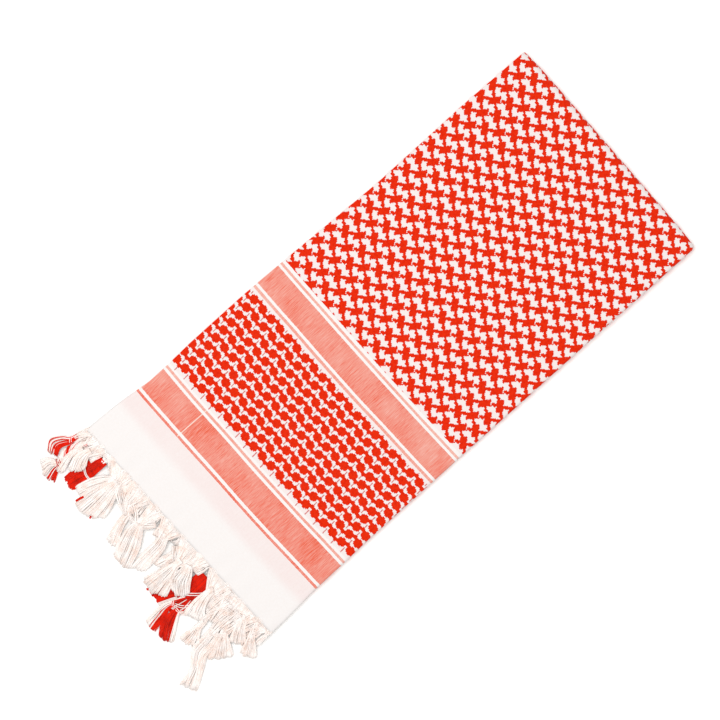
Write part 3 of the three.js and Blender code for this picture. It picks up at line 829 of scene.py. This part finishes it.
def layTassel(curve, row, dice):
    endA, endB = (np.array(corner, float) for corner in row["end"])
    line = np.array(row["line"], float)
    centres = np.vstack([line[:, :2], (endA + endB) / 2])
    runs = np.gradient(centres, axis=0)
    stations = []
    for (x, y), run, (width, thick) in zip(centres, runs, list(line[:, 2:]) + [(0, 1.6)]):
        side = np.array((-run[1], run[0])) / math.hypot(*run)
        side *= width / 2 * (1 if np.dot(side, endA - endB) > 0 else -1)
        if width == 0:
            side = (endA - endB) / 2
        height = max(restAt(x) + row["lift"], 0) + thick / 2
        stations.append((x, y, height, *side, thick / 2))
    count = 16
    core = smoothRun(stations, count)
    shares = np.linspace(0, 1, count)
    tipRun = (endA + endB) / 2 - centres[-2]
    tipRun /= math.hypot(*tipRun)
    crimp = row.get("crimp", 1)
    clumps = [(dice.uniform(-1, 1), dice.uniform(-0.25, 0.25), dice.uniform(0, 6.28))
              for _ in range(fringe["clumps"] + 1)]
    for number in range(row["yarns"]):
        rank = (number + dice.uniform(0.1, 0.9)) / row["yarns"]
        red = any(low <= rank <= high for low, high in row["red"]) or dice.random() < row.get("mixed", 0)
        u = 1 - 2 * rank
        v = dice.uniform(-1, 1) * math.sqrt(max(0.15, 1 - u * u))
        clump = round(rank * fringe["clumps"])
        longer, higher, phase = clumps[clump]
        drawn = 1 - 2 * clump / fringe["clumps"]
        longer += dice.uniform(-0.8, 0.8)
        phase += dice.uniform(-0.9, 0.9)
        places = []
        for share, (x, y, z, sideX, sideY, half) in zip(shares, core):
            spin = 2 * math.pi * row.get("twist", 0) * (1 - smooth(share, 0.5, 0.75))
            spin *= min(1, share / 0.7)
            late = share ** 3
            across = u + (drawn - u) * fringe["clumpPull"] * late
            turnedU = across * math.cos(spin) - v * math.sin(spin)
            turnedV = across * math.sin(spin) + v * math.cos(spin)
            reach = (row["bulge"] * (1 - across ** 2) + longer) * late
            sway = fringe["wave"] * crimp * math.sin(phase + share * 60 / fringe["waveLength"]) * share
            away = turnedU + sway / max(math.hypot(sideX, sideY), 1)
            places.append((x + sideX * away + tipRun[0] * reach, y + sideY * away + tipRun[1] * reach,
                           z + half * turnedV + higher * late + 0.5 * sway))
        addStrand(curve, places, red)
    if row["knot"] is not None:
        at = row["knot"]
        x, y, z = stations[at][:3]
        knotYarns(curve, (x, y, z), runs[at], dice, bool(row["red"]) and row["slot"] != "white_yarn")


def layTassels(dice):
    curves = {}
    for row in tassels:
        if row["name"] not in curves:
            curves[row["name"]] = (newStrands(row["name"]), row["slot"])
        layTassel(curves[row["name"]][0], row, dice)
    return [asPiece(curve, "yarns_" + name, "tassel_" + name)
            for name, (curve, slot) in curves.items()]


def layRoot(dice):
    curve = newStrands("root")
    for (knotX, knotY), start, end, lift in gathers:
        count = max(4, round(abs(start - end) / fringe["rootSpacing"]))
        for number in range(count):
            y = start + (end - start) * (number + dice.uniform(0.2, 0.8)) / count
            edge = fringeLine(y)
            top = packetHeight(0) - 0.55 - 0.7 * (number % 2)
            knotAt = knotY + (y - (start + end) / 2) * 0.34
            height = restAt(knotX) + lift + 1.6 + dice.uniform(-1.4, 1.4)
            sag = dice.uniform(-0.5, 0.3)
            line = [(edge + 1.6, y, top), (edge - 1.2, y + (knotAt - y) * 0.05, top),
                    (edge + (knotX - edge) * 0.55, y + (knotAt - y) * 0.5, (2 * top + 3 * height) / 5 + sag),
                    (knotX, knotAt, height), (knotX - 2.5, knotY + (knotAt - knotY) * 0.6, height)]
            addStrand(curve, smoothRun(line, 10))
    for line, width, yarns, lift, redShare in bundles:
        route = np.array(line, float)
        runs = np.gradient(route, axis=0)
        for number in range(yarns):
            turn = dice.uniform(0, 2 * math.pi)
            out = math.sqrt(dice.uniform(0, 1)) if yarns > 3 else 0.8 * (2 * number / max(yarns - 1, 1) - 1)
            if yarns <= 3:
                turn = 0
            places = []
            for step, ((x, y), run) in enumerate(zip(route, runs)):
                side = out * width / 2 * math.cos(turn + 0.7 * step * (yarns > 3))
                up = out * min(width, 5) / 2.4 * math.sin(turn + 0.7 * step * (yarns > 3))
                length = math.hypot(*run)
                places.append((x - run[1] / length * side, y + run[0] / length * side,
                               restAt(x) + lift + 1.8 + up))
            addStrand(curve, smoothRun(places, 10), red=dice.random() < redShare)
    return asPiece(curve, "fringe_root", "edge_net")


def layLower(dice):  # the lower layers' fringes, laid in small gathers under the top one
    curve = newStrands("lower")
    reachRows = np.array([
        (-131, 6), (-124, 9), (-106, 12), (-98, 34), (-91, 28), (-84, 28), (-72, 20),
        (-56, 14), (-43, 9), (-32, 16), (-20, 22), (-4, 12), (6, 17), (18, 10),
        (31, 20), (40, 14), (50, 16), (60, 16), (72, 16), (95, 9), (132, 7),
    ], float)
    for level in (0.62, 0.3):
        start = -130 + 6 * level
        while start < 116:
            width = dice.uniform(10, 14)
            middle = start + width / 2
            reach = 0.9 * float(np.interp(middle, reachRows[:, 0], reachRows[:, 1]))
            for number in range(round(width / fringe["lowerSpacing"])):
                y = start + (number + 0.5) * fringe["lowerSpacing"]
                u = 2 * (y - middle) / width
                edge = fringeLine(y)
                top = level * packetHeight(0)
                low = dice.uniform(0.6, 2)
                end = 0.4 * level * restAt(-reach) + low
                line = [(edge + 2, y, top), (edge - 1.5, y, top - 0.3),
                        (-0.5 * reach, middle + 1.8 * u, level * restAt(-0.5 * reach) + low),
                        (-reach, middle + 4.5 * u + dice.uniform(-0.6, 0.6), end)]
                addStrand(curve, smoothRun(line, 9))
            start += width
    return asPiece(curve, "lower_fringe", "under_fringe")


dice = random.Random(11)
whiteYarn = spunYarn("white spun cotton yarn", fringe["white"], fringe["whiteShade"])
redYarn = spunYarn("red spun cotton yarn", fringe["red"], fringe["redPaintedShade"])
fringePieces = [layRoot(dice), layLower(dice)] + layTassels(dice)
print("fringe laid", sum(len(piece.data.polygons) for piece in fringePieces))
